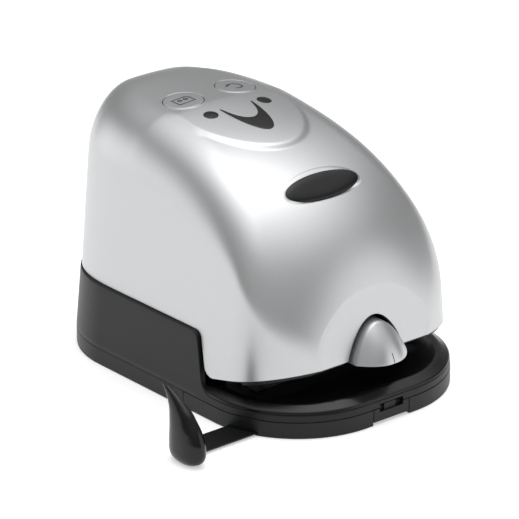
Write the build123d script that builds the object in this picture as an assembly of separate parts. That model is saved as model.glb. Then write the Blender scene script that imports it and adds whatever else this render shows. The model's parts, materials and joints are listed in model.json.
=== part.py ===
"""Electric hole punch: two holes, 80 mm apart, punched by a motor-driven cam shaft.

Frame: X to the right, -Y towards the paper, +Z up, millimetres.
The origin is the middle of the underside, on the desk.
"""
from build123d import *
from math import atan2, cos, pi, radians, sin, sqrt, tan
import os

os.makedirs("parts", exist_ok=True)

# ---------------------------------------------------------------- driving dimensions
# Base outline: a rounded rectangle seen from above
base_width = 130.0
base_front = 95.5           # reach towards -Y
base_rear = 92.5            # reach towards +Y
base_corner = 50.0
band_top = 8.4              # seam between the bottom pieces and the housing
underside = 0.2             # floor of the tray and bottom cover above the desk
floor_wall = 2.8
pan_wall = 3.0              # upright wall of the tray and bottom cover
shell_wall = 2.8
seam_gap = 0.2

# Housing: low rim at the front, high skirt at the sides and rear
rim_top = 12.0
skirt_top = 40.0
skirt_draft = 4.7
skirt_front_top = -29.5     # Y of the skirt's front edge at the top, before its corner is rounded
skirt_front_low = -34.8     # Y of the same edge just above its foot
skirt_corner = 4.5          # rounding of that top corner
skirt_foot = 17.0           # Z where the edge sweeps forward into the rim
skirt_toe = -43.0           # Y where the sweep meets the rim

# Paper throat
deck_top = 16.0
deck_edge = 1.0             # upright edge of the deck above the rim
lip_slope = 60.0            # degrees off upright, the lip's shoulder
lip_round_low = 1.5
lip_round_top = 5.0
well_half = 50.3            # well for the die plate
well_reach = 11.3           # its reach in front of the punches
hole_spacing = 80.0
hole_radius = 3.0
hole_depth = 12.0           # hole centre from the paper's edge
paper_stop = -35.0
punch_line = paper_stop - hole_depth
throat_height = 6.0         # deck to guide plate
plate_thick = 3.0

# Top cover: arches at right angles to Y, from a low wide front to a high rear
cover_wall = 2.3
cover_foot = 20.0           # height that the arches are measured from
cover_half = 62.8
cover_draft = 6.3
cover_height = 105.1
cover_front = -88.25        # where the plan curve would close
cover_shoulder_front = -50.4
cover_front_power = 2.27
cover_rear = 90.0
cover_shoulder_rear = 36.0
cover_rear_power = 2.6
cover_rear_face = 89.4
crown_sag_rear = 9.0
crown_sag_front = 60.0
crown_power = 3.95
edge_radius_rear = 32.4
edge_radius_front = 8.1
hood_drop = 27.3
hood_start = 31.6
hood_power = 1.28
nose_close = -86.0
nose_power = 2.85
rear_round_start = 50.7
rear_close = 101.6
rear_power = 4.8
facet_foot = -85.4
facet_lean = 0.12
side_steps = 3              # points of an arch: up the side, round the edge, over the crown
edge_steps = 6
crown_steps = 5
cover_seam = 0.3
lip_corner = -36.4          # Y of the cover's lowest corner, beside the punches
lip_low = 19.4
lip_rise = 0.231            # rise of the cover's front edge per mm towards the front
lip_round = 6.0

# Raised panel that carries the controls
panel_half = 31.0
panel_centre = 20.0
panel_reach = 42.0
panel_shift = 4.6

# Controls
button_x = 15.9
button_y = 36.8
button_radius = 9.8
button_gap = 0.3
button_travel = 1.0
lens_x = 16.3
lens_y = 15.7
lens_radius = 3.5
fit_gap = 0.1

# Badge and inlay
badge_y = -46.0
badge_z = 101.6
badge_slope = 33.0
badge_half_width = 22.0
badge_half_height = 7.2
badge_depth = 1.5
inlay_depth = 1.0

# Centre guide that shows the middle of the paper
arch_half = 16.6
arch_top = 48.6
guide_bottom = 29.3
guide_reach = -97.5
guide_round = 12.0

# Side guide
bar_width = 15.4
bar_y = -61.6
bar_thick = 1.5
bar_lift = 0.3
bar_hold = 1.3              # the bar's end inside the grip, from the grip's middle
bar_corner = 8.0            # the bar's rear corner is cut off under the grip
bar_right = 24.0
bar_travel_in = 34.0
slide_gap = 0.15
leaf_reach = 35.8           # middle of the finger grip beyond the base's side
leaf_x = -(base_width / 2 + leaf_reach)
bar_left = leaf_x + bar_hold
leaf_gap = 0.3              # its foot above the desk
leaf_height = 33.5
leaf_half = 5.9             # half-thickness at its thickest
leaf_front = -81.2
leaf_back = -59.0
# each slice: its height as a share of the grip's, how far its front and back lie from the lines above,
# and its thickness as a share
leaf_slices = [(0.0, 4.4, -2.0, 0.72), (0.06, 1.6, -0.5, 0.92), (0.16, 0.2, 0.0, 1.0), (0.33, 0.3, 0.1, 0.95),
               (0.5, 2.9, 0.0, 0.83), (0.72, 8.8, 0.6, 0.6), (0.88, 16.4, 2.8, 0.38), (0.96, 21.6, 5.2, 0.24),
               (1.0, 25.4, 6.8, 0.12)]

# Tray
tray_rear = -22.5
tray_feet_spots = [(-40.0, -36.0), (40.0, -36.0), (-25.0, -84.0), (25.0, -84.0)]
tray_foot_radius = 5.0
latch_half = 10.8
latch_depth = 8.0
notch_half = 7.2
notch_top = 10.2
strip_half = 42.0           # anti-slip strips under the rear
strip_depth = 5.0
strip_top = 1.5
strip_places = [0.0, 76.0]

# Mechanism
shaft_y = punch_line + 2.0
shaft_z = 72.0
shaft_radius = 4.0
running_gap = 0.05
cam_low = 10.0
stroke = 8.0
cam_width = 8.0
cam_x = 28.0
follower_radius = 4.0
cam_clear = 0.3
gear_module = 1.0
cam_teeth = 42
idler_teeth = 28
pinion_teeth = 14
gear_face = 6.0
gear_backlash = 0.12
pressure_angle = 20.0
idler_bearing = -10.0       # degrees, direction from the cam shaft to the idler
pinion_bearing = -25.0      # degrees, direction from the idler to the pinion
cheek_x = 47.0
cheek_thick = 2.5
cheek_top = 84.0
carriage_low = 40.0
carriage_thick = 8.0
carriage_half = 52.0
carriage_depth = 10.0
bush_radius = 4.5
bush_top = 28.0
gearbox_radius = 15.0
gearbox_length = 16.0
motor_radius = 16.0
motor_length = 27.0
bracket_thick = 2.0
bracket_gap = 6.0
idler_shaft_radius = 2.5
spring_wire = 0.6

# Fixings and electrics
frame_foot = 10.0           # underside of the punch frame
frame_flange = 2.5          # its sheet at the floor and back
screw_radius = 1.7
screw_head = 3.2
post_radius = 4.0
post_spots = [(54.0, -14.0), (43.5, 73.0)]
frame_spots = [(-38.0, -15.0), (38.0, -15.0)]
bracket_spots = [(21.0, 1.0), (21.0, 18.0)]
board_spots = [(-26.0, 36.0), (26.0, 36.0), (-26.0, 58.0), (26.0, 58.0)]
board_thick = 1.6
board_top = frame_foot + board_thick
switch_board_top = 113.0
board_half = 27.0
board_screws = [(-24.0, 6.0), (24.0, 6.0), (-24.0, 50.0), (24.0, 50.0)]
socket_x = 7.0
socket_z = 24.0
socket_radius = 2.75
socket_depth = 9.0

half = base_width / 2
corner_x = half - base_corner
front_corner_y = base_corner - base_front
shaft_spot = (shaft_y, shaft_z)
guide_plate_low = deck_top + throat_height
guide_plate_top = guide_plate_low + plate_thick


# ---------------------------------------------------------------- helpers
def outline(inset=0.0):
    """The base seen from above, drawn in by an even inset."""
    length = base_front + base_rear - 2 * inset
    width = base_width - 2 * inset
    middle = (base_rear - base_front) / 2
    return Pos(0, middle) * RectangleRounded(width, length, base_corner - inset)


def prism(face, low, high, taper=0.0):
    """A plan view raised from one height to another."""
    return extrude(Pos(0, 0, low) * face, high - low, taper=taper)


def side_prism(points, reach=half + 10, start=None):
    """A side view of (Y, Z) points, run across X."""
    face = make_face(Polyline(*points, close=True))
    first = -reach if start is None else start
    return extrude(Plane.YZ.offset(first) * face, reach - first)


def slab(x0, x1, y0, y1, z0, z1):
    """A box given by its limits."""
    return Pos((x0 + x1) / 2, (y0 + y1) / 2, (z0 + z1) / 2) * Box(x1 - x0, y1 - y0, z1 - z0)


def rod(x, y, low, high, radius):
    """An upright cylinder."""
    return Pos(x, y, (low + high) / 2) * Cylinder(radius, high - low)


def cross_rod(y, z, x0, x1, radius):
    """A cylinder along X."""
    return Pos((x0 + x1) / 2, y, z) * Rot(0, 90, 0) * Cylinder(radius, x1 - x0)


def both_sides(shape):
    """The shape with its mirror image across the middle plane."""
    return [shape, mirror(shape, about=Plane.YZ)]


def fillet_path(points, radius):
    """Two lines through three points with an arc in their corner, as edges."""
    start, corner, end = [Vector(*p) for p in points]
    back, on = (start - corner).normalized(), (end - corner).normalized()
    half_angle = radians(back.get_angle(on)) / 2
    reach = radius / tan(half_angle)
    centre = corner + (back + on).normalized() * (radius / sin(half_angle))
    mid = centre + (corner - centre).normalized() * radius
    first, last = corner + back * reach, corner + on * reach
    return [Line(start, first), ThreePointArc(first, mid, last), Line(last, end)]


def coil(x, y, low, high, radius, wire, turns):
    """A compression spring of tilted half turns, each meeting the next along Y."""
    climb = (high - low - 2 * wire) / (2 * turns)
    edges = []
    for k in range(2 * turns):
        side = 1 if k % 2 == 0 else -1
        z = low + wire + k * climb
        edges.append(ThreePointArc((side * radius, 0, z), (0, side * radius, z + climb / 2),
                                   (-side * radius, 0, z + climb)))
    start = Plane(origin=(radius, 0, low + wire), x_dir=(1, 0, 0), z_dir=(0, 1, 0))
    path = Wire(edges)
    return Pos(x, y, 0) * sweep(start * RegularPolygon(wire, 8), path=path)


# ---------------------------------------------------------------- the cover's form
def plan_half(y):
    """Half-width of the cover at a place along Y: straight sides with rounded ends."""
    if y < cover_shoulder_front:
        t = (cover_shoulder_front - y) / (cover_shoulder_front - cover_front)
        power = cover_front_power
    else:
        t = max(0.0, (y - cover_shoulder_rear) / (cover_rear - cover_shoulder_rear))
        power = cover_rear_power
    return cover_half * (1 - t ** power) ** (1 / power)


def crown_height(y):
    """Height of the cover's middle line above its foot."""
    drop = hood_drop * max(0.0, (hood_start - y) / (hood_start + 90)) ** hood_power
    front = max(0.0, (10 - y) / (10 - nose_close)) ** nose_power
    rear = max(0.0, (y - rear_round_start) / (rear_close - rear_round_start)) ** rear_power
    return (cover_height - drop) * (1 - front) ** (1 / nose_power) * (1 - rear) ** (1 / rear_power)


def arch(y, inset=0.0):
    """One arch of the cover as a single smooth line: leaning sides, round edges and a crowned top."""
    width = plan_half(y) - inset
    height = crown_height(y) - inset
    along = max(0.0, (hood_start - y) / (hood_start + 90))
    sag = crown_sag_rear + (crown_sag_front - crown_sag_rear) * along ** crown_power
    sag = min(sag * (width / cover_half) ** 2, 0.6 * height)
    share = min(1.0, max(0.0, (y + 85) / 170))
    radius = edge_radius_front + (edge_radius_rear - edge_radius_front) * share
    radius = min(radius - inset, 0.6 * width, 0.75 * (height - sag))
    crown = (width ** 2 + sag ** 2) / (2 * sag)
    lean = radians(cover_draft) * width / cover_half
    # centre of the edge arc: at its radius from the side, and inside the crown arc
    a = width - radius / cos(lean)
    b = tan(lean)
    k = height - crown
    qa = 1 + b * b
    qb = a * b + k
    qc = a * a + k * k - (crown - radius) ** 2
    cz = (qb + sqrt(qb * qb - qa * qc)) / qa
    cx = a - b * cz
    up = atan2(cz - k, cx)
    shoulder = (cx + radius * cos(lean), cz + radius * sin(lean))
    right = [(width + (shoulder[0] - width) * n / side_steps, shoulder[1] * n / side_steps)
             for n in range(side_steps)]
    for n in range(edge_steps):
        turn = lean + (up - lean) * n / edge_steps
        right.append((cx + radius * cos(turn), cz + radius * sin(turn)))
    for n in range(crown_steps):
        turn = up + (pi / 2 - up) * n / crown_steps
        right.append((crown * cos(turn), k + crown * sin(turn)))
    points = right + [(0, height)] + [(-x, z) for x, z in reversed(right)]
    plane = Plane(origin=(0, y, cover_foot), x_dir=(1, 0, 0), z_dir=(0, -1, 0))
    return plane * make_face(Wire([Spline(*points), Line(points[-1], points[0])]))


def hood(inset=0.0, rows=None):
    """The closed body of the cover, or its hollow when inset by the wall."""
    first = facet_foot + 1.6 * inset
    last = cover_rear_face - inset
    rows = [first + 1.8, first + 5, first + 10, -66, -54, -40, -22, 0, 22, 40, 54, 66, 75, 82, 86.5]
    places = [first] + [y for y in rows if first < y < last - 0.5] + [last]
    return loft([arch(y, inset) for y in places])


def facet_cut(inset=0.0):
    """Everything in front of the flat front facet."""
    low = facet_foot + inset
    high = facet_foot + inset + facet_lean * 130
    return side_prism([(-140, cover_foot), (low, cover_foot), (high, cover_foot + 130), (-140, 150)])


def ahead_of_skirt(gap=0.0):
    """Side view of the open space in front of the housing's skirt, above its rim."""
    above = skirt_top + 5
    top = (skirt_front_top - gap * 1.1, skirt_top)
    low = (skirt_front_low - gap * 1.1, skirt_foot)
    toe = (skirt_toe, rim_top + gap)
    edge = fillet_path([low, top, (top[0] + 20, skirt_top)], skirt_corner)
    lines = [Line((-140, rim_top + gap), toe), Bezier(toe, (skirt_front_low - 3, rim_top + gap), low), *edge,
             Line((top[0] + 20, skirt_top), (top[0] + 20, above)), Line((top[0] + 20, above), (-140, above)),
             Line((-140, above), (-140, rim_top + gap))]
    return extrude(Plane.YZ.offset(-half - 10) * make_face(Wire(lines)), base_width + 20)


def below_cover():
    """Everything below the cover's bottom edge, in side view."""
    ahead = cover_front - 5
    behind = cover_rear + 20
    step_top = (skirt_front_top - 0.6, skirt_top + cover_seam)
    points = [(behind, skirt_top + cover_seam), step_top, (lip_corner, lip_low),
              (ahead, lip_low + lip_rise * (lip_corner - ahead)), (ahead, -5), (behind, -5)]
    face = make_face(Polyline(*points, close=True))
    for corner, radius in (((lip_corner, lip_low), lip_round), (step_top, skirt_corner + 0.5)):
        face = fillet(face.vertices().sort_by_distance(Vector(*corner))[0], radius)
    return extrude(Plane.YZ.offset(-half - 10) * face, base_width + 20)


# ---------------------------------------------------------------- base
def base_housing():
    """Rim and skirt: a drafted ring, cut low in front of the skirt."""
    ring = prism(outline(), band_top, skirt_top, skirt_draft)
    ring -= prism(outline(shell_wall), band_top - 1, skirt_top + 1, skirt_draft)
    ring -= ahead_of_skirt()
    ring -= slab(-notch_half, notch_half, -base_front - 5, -base_front + 8, band_top - 1, notch_top)
    for x, y in post_spots:
        web = slab(x, x + 6, y - 1.2, y + 1.2 + (4 if y > 0 else 0), band_top + 2, skirt_top - 2)
        for side in both_sides(rod(x, y, band_top, skirt_top - 0.4, post_radius) + web):
            ring += side & prism(outline(1.0), band_top, skirt_top, skirt_draft)
    for x, y in post_spots:
        for side in both_sides(rod(x, y, 0, 50, screw_radius + fit_gap)):
            ring -= side
    pad = slab(socket_x - 7, socket_x + 7, 70, base_rear, socket_z - 7, socket_z + 7)
    ring += pad & prism(outline(1.0), band_top, skirt_top, skirt_draft)
    ring -= slab(socket_x - 5.5, socket_x + 5.5, 60, base_rear + 5, socket_z - 5.5, socket_z + 5.5)
    return ring


def front_deck():
    """Gloss shelf that the paper lies on, with a broad rounded lip and a well for the die plate."""
    knee = rim_top + deck_edge
    deck = prism(outline(seam_gap + 0.1), rim_top, knee)
    deck += prism(outline(seam_gap + 0.1), knee, deck_top, lip_slope)
    rims = deck.edges().filter_by_position(Axis.Z, knee - 0.01, knee + 0.01)
    deck = fillet(rims, lip_round_low)
    deck = fillet(deck.faces().sort_by(Axis.Z)[-1].edges(), lip_round_top)
    deck = deck & ahead_of_skirt(seam_gap)
    return deck - slab(-well_half, well_half, punch_line - well_reach, 0, 0, 50)


def bottom_cover():
    """Rear half of the underside: a shallow pan with screw and frame posts."""
    rear = slab(-80, 80, tray_rear + seam_gap, 120, -5, 60)
    pan = prism(outline(), underside, band_top) & rear
    pan -= prism(outline(pan_wall), underside + floor_wall, band_top + 5)
    pan += prism(outline(pan_wall), underside, band_top - 2) & slab(-80, 80, tray_rear + seam_gap,
                                                                     tray_rear + 2.2, -5, 60)
    for x, y in post_spots:
        for side in both_sides(rod(x, y, underside + 0.5, band_top - seam_gap, post_radius)):
            pan += side
        hole = rod(x, y, -1, 20, screw_radius + fit_gap) + rod(x, y, -1, 4, screw_head + fit_gap)
        for side in both_sides(hole):
            pan -= side
    for x, y in frame_spots + bracket_spots + board_spots:
        pan += rod(x, y, underside + 0.5, frame_foot, post_radius)
        pan -= rod(x, y, 4, 20, screw_radius - 0.3)
    for y in strip_places:
        pan -= slab(-strip_half, strip_half, y - strip_depth, y + strip_depth, -1, strip_top)
    return pan


def rubber_strip(y):
    """A grooved anti-slip strip that stands proud of the underside."""
    strip = slab(-strip_half, strip_half, y - strip_depth, y + strip_depth, 0, strip_top)
    strip = chamfer(strip.edges().filter_by(Axis.Z), 1.5)
    return strip


def bar_section(grow=0.0):
    """Dovetail bar in side view, wide face up."""
    low = bar_lift - grow
    high = bar_lift + bar_thick + grow
    wide = bar_width / 2 + grow
    narrow = wide - bar_thick - 2 * grow
    return [(bar_y - narrow, low), (bar_y + narrow, low), (bar_y + wide, high), (bar_y - wide, high)]


def chip_tray():
    """Drawer under the deck: a shallow pan whose underside guides the side bar."""
    top = band_top - seam_gap
    tray = prism(outline(), underside, top) - prism(outline(pan_wall), underside + floor_wall, top + 5)
    tray = tray & slab(-80, 80, -120, tray_rear, -5, 60)
    tray += prism(outline(pan_wall), underside, top) & slab(-80, 80, tray_rear - 2, tray_rear, -5, 60)
    room = bar_right + bar_travel_in + 0.5
    channel = side_prism(bar_section(slide_gap), reach=room, start=-half - 10)
    mouth = bar_width / 2 - bar_thick - slide_gap
    foot = slab(-half - 10, room, bar_y - mouth, bar_y + mouth, -1, bar_lift)
    tray -= channel + foot
    well = slab(-latch_half - 2, latch_half + 2, -base_front, -base_front + latch_depth + 2, -5, 8.2)
    tray += well & prism(outline(pan_wall / 2), underside, top)
    tray -= slab(-latch_half - 0.3, latch_half + 0.3, -120, -base_front + latch_depth + 0.3, -5, 60)
    for x, y in tray_feet_spots:
        tray -= rod(x, y, -1, strip_top, tray_foot_radius)
    return tray


def tray_latch():
    """Sprung catch in the middle of the tray's front, with a tab that shows in the rim's notch."""
    body = prism(outline(), underside, band_top - seam_gap)
    latch = body & slab(-latch_half, latch_half, -120, -base_front + latch_depth, 1.6, 60)
    latch -= slab(-notch_half, notch_half, -120, -base_front + 2.4, 6.2, 60)
    tab = slab(-3.6, 3.6, -base_front + 1.2, -base_front + 4.4, 5.5, notch_top - 0.8)
    return latch + fillet(tab.edges().filter_by(Axis.X), 0.6)


# ---------------------------------------------------------------- cover and its fittings
def control_panel(solid):
    """Raised tongue: the hood itself moved forward, kept inside an oval."""
    oval = Pos(0, panel_centre) * Ellipse(panel_half, panel_reach)
    return (Pos(0, -panel_shift, 0) * solid) & prism(oval, 80, 140)


badge_plane = Plane(origin=(0, badge_y, badge_z), x_dir=(1, 0, 0),
                    z_dir=(0, -sin(radians(badge_slope)), cos(radians(badge_slope))))


def badge_oval(grow, low, high):
    """An oval block standing on the hood's slope."""
    face = badge_plane.offset(low) * Ellipse(badge_half_width + grow, badge_half_height + grow)
    return extrude(face, high - low)


def inlay_outline(grow=0.0):
    """Boomerang seen from above, its apex to the front."""
    tip_x, tip_y = 9.8, 17.0
    outer = -13.0 - grow
    inner = 2.5 + grow
    lines = [Spline((-tip_x - grow, tip_y), (-7.6 - grow, -2), (0, outer), (7.6 + grow, -2),
                    (tip_x + grow, tip_y)),
             Line((tip_x + grow, tip_y), (tip_x - 0.8 - grow, tip_y)),
             Spline((tip_x - 0.8 - grow, tip_y), (4.6 - grow, 5.0), (0, inner), (-4.6 + grow, 5.0),
                    (-tip_x + 0.8 + grow, tip_y)),
             Line((-tip_x + 0.8 + grow, tip_y), (-tip_x - grow, tip_y))]
    return make_face(Wire(lines))


def arch_opening(grow, y0, y1):
    """The arch of the centre guide, run along Y."""
    spring_line = guide_bottom + 3
    plane = Plane(origin=(0, y1, 0), x_dir=(1, 0, 0), z_dir=(0, -1, 0))
    face = Pos(0, spring_line) * Ellipse(arch_half + grow, arch_top - spring_line + grow)
    face += Pos(0, spring_line / 2) * Rectangle(2 * (arch_half + grow), spring_line)
    return extrude(plane * face, y1 - y0)


def top_cover(outer):
    """Silver shell with the facet, arch, panel and the seats of its fittings."""
    cover = outer + control_panel(outer)
    cover -= facet_cut()
    hollow = hood(cover_wall) - facet_cut(cover_wall)
    cover -= hollow
    skin = outer - below_cover() - facet_cut()
    for x, y in post_spots:
        for side in both_sides(rod(x, y, skirt_top + cover_seam, skirt_top + 34, post_radius)):
            cover += side & skin
    for x, y in board_screws:
        cover += rod(x, y, switch_board_top, 130, 2.5) & skin
    cover -= below_cover()
    cover -= arch_opening(fit_gap * 3, -100, -70)
    for x in (-1, 1):
        cover -= rod(x * button_x, button_y, 100, 140, button_radius + button_gap)
        cover -= rod(x * lens_x, lens_y, 100, 140, lens_radius + fit_gap)
    cover -= badge_oval(0.1, -badge_depth, 12)
    cover -= inlay_prism(0.05, outer)
    for x, y in post_spots:
        for side in both_sides(rod(x, y, 30, skirt_top + 14, screw_radius - 0.3)):
            cover -= side
    return cover


def inlay_prism(grow, outer):
    """The boomerang's block, from a little below the panel's surface upwards."""
    low = Pos(0, 0, -inlay_depth) * (Pos(0, -panel_shift, 0) * outer)
    return prism(inlay_outline(grow), 105, 140) - low


def crescent_inlay(outer):
    """Gloss inlay, flush with the panel."""
    return inlay_prism(0.0, outer) & (Pos(0, -panel_shift, 0) * outer)


def badge_plate():
    """Bare domed oval in its recess."""
    plate = badge_oval(-0.2, -badge_depth + 0.05, 0.5)
    return fillet(plate.faces().sort_by(Axis.Z)[-1].edges(), 0.4)


def indicator_lens(side, outer):
    """A round window, flush with the panel, with a shoulder inside the cover."""
    return rod(side * lens_x, lens_y, 118.2, 140, lens_radius) & (Pos(0, -panel_shift, 0) * outer)


def button(side, outer):
    """Round key: a cap that continues the cover's surface, a flange inside it and a stem."""
    x = side * button_x
    cap = rod(x, button_y, 118.6, 140, button_radius) & (Pos(0, -panel_shift, 0) * outer)
    return cap + rod(x, button_y, switch_board_top + 4.9, 119, 3.0)


def centre_guide():
    """Bullet-shaped nose that comes out of the arch: arch, plan and side views combined."""
    rear = -76.0
    body = arch_opening(0.0, guide_reach - 1, rear)
    plan = Pos(0, guide_reach + guide_round) * Ellipse(arch_half, guide_round)
    straight = -70 - guide_reach - guide_round
    plan += Pos(0, -70 - straight / 2) * Rectangle(2 * arch_half, straight)
    body = body & prism(plan, guide_bottom, arch_top + 2)
    side = make_face(Wire([Line((-70, guide_bottom), (guide_reach, guide_bottom)),
                           Spline((guide_reach, guide_bottom), (-94.6, 35.5), (-89.5, 43.0), (-81, arch_top)),
                           Line((-81, arch_top), (-70, arch_top)),
                           Line((-70, arch_top), (-70, guide_bottom))]))
    return body & extrude(Plane.YZ.offset(-30) * side, 60)


def throat_roof():
    """Sloping upper guide between the cover's front edge and the guide plate."""
    rear = punch_line - well_reach
    roof = side_prism([(rear, guide_plate_low), (rear, guide_plate_low + 2),
                       (-82.4, 30.6), (-82.4, 28.6)])
    return roof & hood(cover_wall + 0.3) - arch_opening(0.5, -100, -75.7)


# ---------------------------------------------------------------- side guide
def guide_bar():
    """Dovetail strip that slides under the tray."""
    bar = side_prism(bar_section(), reach=bar_right, start=bar_left)
    rear = bar_y + bar_width / 2
    corner = Polyline((bar_left, rear - bar_corner), (bar_left, rear), (bar_left + bar_corner, rear),
                      close=True)
    return bar - prism(make_face(corner), 0, bar_lift + bar_thick)


def guide_leaf():
    """Finger grip on the bar's end: oval slices that shrink and sweep back as they rise."""
    slices = []
    for share, front, back, thick in leaf_slices:
        y0 = leaf_front + front
        y1 = leaf_back + back
        z = leaf_gap + (leaf_height - leaf_gap) * share
        slices.append(Pos(leaf_x, (y0 + y1) / 2, z) * Ellipse(leaf_half * thick, (y1 - y0) / 2))
    return loft(slices) - guide_bar()


# ---------------------------------------------------------------- punch unit
def punch_frame():
    """Steel C-frame: guide plate above the paper, back wall and a rear flange."""
    front = punch_line - 11
    reach = cheek_x + cheek_thick
    frame = slab(-reach, reach, front, paper_stop + frame_flange, guide_plate_low, guide_plate_top)
    frame += slab(-reach, reach, paper_stop, paper_stop + frame_flange, frame_foot + frame_flange,
                  guide_plate_top)
    frame += slab(-45, 45, paper_stop, -10, frame_foot, frame_foot + frame_flange)
    for x in (-1, 1):
        frame -= rod(x * hole_spacing / 2, punch_line, 15, 30, bush_radius)
    for x, y in frame_spots:
        frame -= rod(x, y, 0, 20, screw_radius + fit_gap)
    frame -= slab(-12, 12, -25, 0, 0, 20)
    return frame


def frame_cheek():
    """Upright plate on one end of the guide plate, bored for the cam shaft's bearing."""
    front = punch_line - 11
    back = paper_stop + frame_flange
    low = guide_plate_top
    cheek = side_prism([(front, low), (back, low), (back, 60), (shaft_y + 9, cheek_top - 5),
                        (shaft_y + 4, cheek_top), (shaft_y - 4, cheek_top), (shaft_y - 9, cheek_top - 5),
                        (front, 50)], reach=cheek_x + cheek_thick, start=cheek_x)
    return cheek - cross_rod(shaft_y, shaft_z, 0, 60, shaft_radius + 2)


def die_holder():
    """Lower plate that carries the die, with drop holes for the chips."""
    plate = slab(-50, 50, punch_line - 11, paper_stop, frame_foot, frame_foot + plate_thick)
    for x in (-1, 1):
        plate -= rod(x * hole_spacing / 2, punch_line, 0, 20, hole_radius + 2)
    return plate


def die_plate():
    """Hardened plate flush with the deck, holes a little larger than the punches."""
    plate = slab(-50, 50, punch_line - 11, paper_stop, frame_foot + plate_thick, deck_top)
    for x in (-1, 1):
        plate -= rod(x * hole_spacing / 2, punch_line, 0, 20, hole_radius + running_gap)
    return plate


def guide_bush(x):
    """Flanged bush that steers one punch."""
    bush = rod(x, punch_line, guide_plate_low, bush_top, bush_radius)
    bush += rod(x, punch_line, guide_plate_top, guide_plate_top + 1.5, bush_radius + 1.8)
    return bush - rod(x, punch_line, 0, 50, hole_radius + running_gap)


def punch_pin(x):
    """Punch with a hollow-ground tip and a groove for its clip."""
    top = carriage_low + carriage_thick + 2.5
    pin = rod(x, punch_line, guide_plate_low, top, hole_radius)
    pin -= Pos(x, punch_line, guide_plate_low - 2.2) * Rot(90, 0, 0) * Cylinder(3.4, 10)
    return pin


def pin_clip(x):
    """Retaining washer pressed on the punch above the carriage."""
    low = carriage_low + carriage_thick
    return rod(x, punch_line, low, low + 1.2, hole_radius + 2.5) - rod(x, punch_line, 0, 99, hole_radius)


def carriage():
    """Crosshead that carries both punches, with a round-topped follower under each cam."""
    y0 = punch_line - carriage_depth / 2
    y1 = punch_line + carriage_depth / 2
    bar = slab(-carriage_half + 8, carriage_half - 8, y0, y1, carriage_low, carriage_low + carriage_thick)
    crest = shaft_z - cam_low - cam_clear
    for x in (-cam_x, cam_x):
        bar += slab(x - 5, x + 5, shaft_y - follower_radius, shaft_y + follower_radius,
                    carriage_low, crest - follower_radius)
        bar += cross_rod(shaft_y, crest - follower_radius, x - 5, x + 5, follower_radius)
    for x in (-1, 1):
        bar -= rod(x * hole_spacing / 2, punch_line, 0, 99, hole_radius)
    return bar


def cam(x):
    """Heart-shaped cam: its radius grows evenly with the angle from its low point."""
    steps = 8
    right = []
    for k in range(steps + 1):
        radius = cam_low + stroke * k / steps
        angle = radians(-90 + 180 * k / steps)
        right.append((radius * cos(angle), radius * sin(angle)))
    left = [(-y, z) for y, z in reversed(right)]
    face = make_face(Wire([Spline(*right), Spline(*left)]))
    plane = Plane(origin=(x - cam_width / 2, shaft_y, shaft_z), x_dir=(0, 1, 0), z_dir=(1, 0, 0))
    body = extrude(plane * face, cam_width)
    hub = cross_rod(shaft_y, shaft_z, x - cam_width / 2 - 3, x + cam_width / 2 + 3, shaft_radius + 3)
    return body + hub - cross_rod(shaft_y, shaft_z, x - 20, x + 20, shaft_radius)


# ---------------------------------------------------------------- gear train
def gear_outline(teeth, phase):
    """Involute spur gear, its first tooth centred on the phase angle in degrees."""
    pitch = gear_module * teeth / 2
    base = pitch * cos(radians(pressure_angle))
    tip = pitch + gear_module
    root = pitch - 1.25 * gear_module
    half_tooth = pi / (2 * teeth) - gear_backlash / (4 * pitch)
    roll = tan(radians(pressure_angle)) - radians(pressure_angle)

    def flank(radius):
        """Half the tooth's angle at a radius."""
        if radius <= base:
            return half_tooth + roll
        slope = sqrt((radius / base) ** 2 - 1)
        return half_tooth + roll - (slope - atan2(slope, 1))

    def point(radius, angle):
        return (radius * cos(angle), radius * sin(angle))

    foot = max(base, root)
    middle = (foot + tip) / 2
    edges = []
    for k in range(teeth):
        centre = radians(phase) + 2 * pi * k / teeth
        after = centre + 2 * pi / teeth
        low_right = point(root, centre - flank(foot))
        low_left = point(root, centre + flank(foot))
        right = [point(r, centre - flank(r)) for r in (foot, middle, tip)]
        left = [point(r, centre + flank(r)) for r in (tip, middle, foot)]
        if foot > root:
            edges.append(Line(low_right, right[0]))
        edges += [ThreePointArc(*right), Line(right[2], left[0]), ThreePointArc(*left)]
        if foot > root:
            edges.append(Line(left[2], low_left))
        edges.append(Line(low_left, point(root, after - flank(foot))))
    return make_face(Wire(edges))


def gear(spot, teeth, phase, x0, x1):
    """A gear across X between two faces."""
    plane = Plane(origin=(x0, spot[0], spot[1]), x_dir=(0, 1, 0), z_dir=(1, 0, 0))
    return extrude(plane * gear_outline(teeth, phase), x1 - x0)


def step(spot, distance, bearing):
    """The place at a distance and bearing from another, in side view."""
    return (spot[0] + distance * cos(radians(bearing)), spot[1] + distance * sin(radians(bearing)))


idler_spot = step(shaft_spot, gear_module * (cam_teeth + idler_teeth) / 2, idler_bearing)
pinion_spot = step(idler_spot, gear_module * (idler_teeth + pinion_teeth) / 2, pinion_bearing)
idler_phase = idler_bearing + 180 - 180 / idler_teeth
idler_pitch = 360 / idler_teeth
ahead = (idler_phase - pinion_bearing) % idler_pitch
pinion_phase = pinion_bearing + 180 - ahead * idler_teeth / pinion_teeth - 180 / pinion_teeth
face_half = gear_face / 2


def cam_gear():
    """Large gear on the cam shaft, thinned between rim and hub."""
    body = gear(shaft_spot, cam_teeth, idler_bearing, -face_half, face_half)
    rim = gear_module * cam_teeth / 2 - 4
    for x0, x1 in ((-face_half - 1, -1.2), (1.2, face_half + 1)):
        body -= cross_rod(*shaft_spot, x0, x1, rim) - cross_rod(*shaft_spot, x0, x1, shaft_radius + 4)
    return body - cross_rod(*shaft_spot, -20, 20, shaft_radius)


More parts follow.
